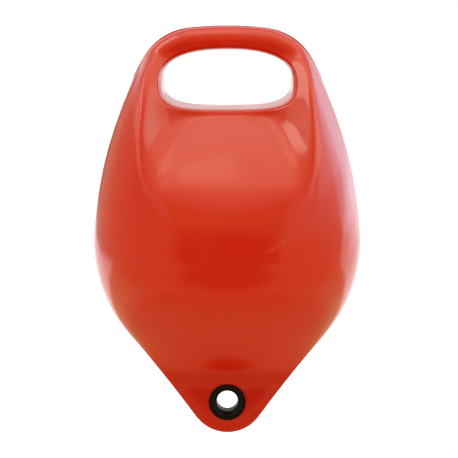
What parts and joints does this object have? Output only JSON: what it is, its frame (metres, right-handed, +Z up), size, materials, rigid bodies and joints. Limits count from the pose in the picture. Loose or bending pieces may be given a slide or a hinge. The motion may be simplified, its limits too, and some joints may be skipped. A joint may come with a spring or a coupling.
{
  "type": "mooring pick-up buoy",
  "caption": "Moulded red float with a hand hole through its top and a bushed eye in the flat lug at its foot, for picking up and tying a mooring rope.",
  "frame": {"origin": "on the float's axis at the waterline, where the float is widest", "axes": "+Z up through the handle, X across the front, the front faces -Y along the eye's bore"},
  "size_m": [0.24, 0.2396, 0.372],
  "materials": {
    "float_plastic": "glossy moulded red plastic",
    "bush_plastic": "black moulded plastic with a satin surface"
  },
  "bodies": {
    "root": {"float_body": "float_plastic", "eye_bush_front": "bush_plastic", "eye_bush_back": "bush_plastic"}
  },
  "joints": []
}
